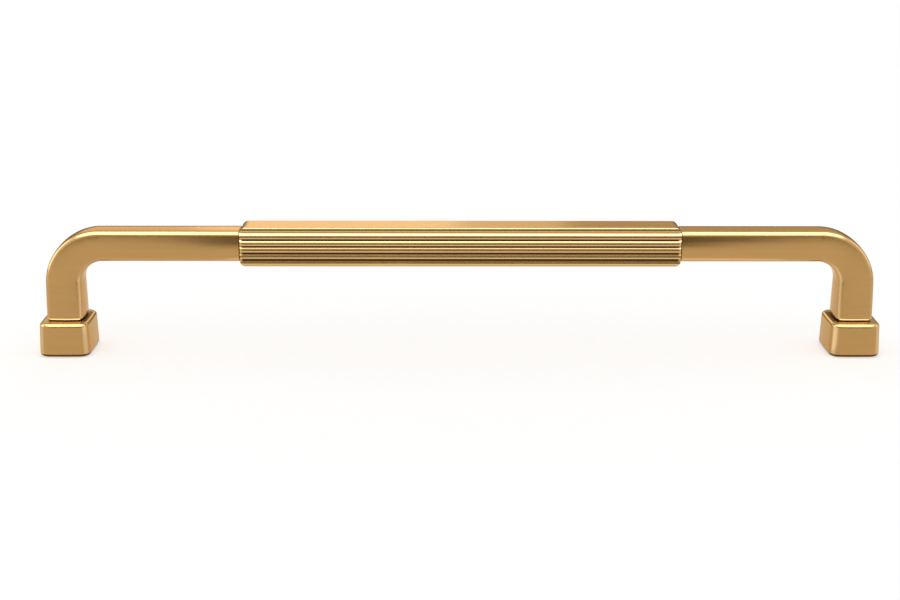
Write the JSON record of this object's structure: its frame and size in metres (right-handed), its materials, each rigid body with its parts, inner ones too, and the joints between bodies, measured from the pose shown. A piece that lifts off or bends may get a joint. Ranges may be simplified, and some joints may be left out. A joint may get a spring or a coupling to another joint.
{
  "type": "cabinet pull",
  "caption": "Bow-shaped cabinet pull in satin brass: a bar with bent legs on square feet and a thicker reeded grip over its middle.",
  "frame": {"origin": "on the mounting plane, midway between the two screw holes", "axes": "+X along the pull, +Y across it, +Z out from the door or drawer front"},
  "size_m": [0.2386, 0.0174, 0.0368],
  "materials": {
    "arm_brass": "satin brushed golden brass",
    "grip_brass": "satin golden brass, drawn along the reeds",
    "foot_brass": "satin brushed golden brass"
  },
  "bodies": {
    "root": {"left_arm": "arm_brass", "right_arm": "arm_brass", "grip_bar": "grip_brass", "left_foot": "foot_brass", "right_foot": "foot_brass"}
  },
  "joints": []
}
